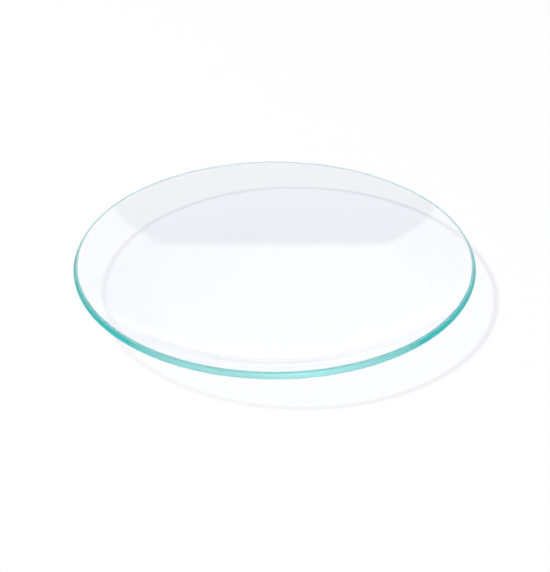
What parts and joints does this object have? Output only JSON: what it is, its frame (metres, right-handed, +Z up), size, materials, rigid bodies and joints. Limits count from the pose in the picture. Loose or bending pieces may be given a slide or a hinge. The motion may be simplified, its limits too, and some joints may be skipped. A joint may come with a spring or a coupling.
{
  "type": "watch glass",
  "caption": "Round shallow bowl of clear glass with a ground edge, laid hollow side up to hold a small sample or set over a beaker as a cover.",
  "frame": {"origin": "where the middle of the rounded underside touches the bench", "axes": "+Z up along the axis of the bowl, towards its hollow side; +X and +Y are any two radii"},
  "size_m": [0.13, 0.13, 0.0142],
  "materials": {
    "clear_glass": "polished"
  },
  "bodies": {
    "root": {"watch_glass": "clear_glass"}
  },
  "joints": []
}
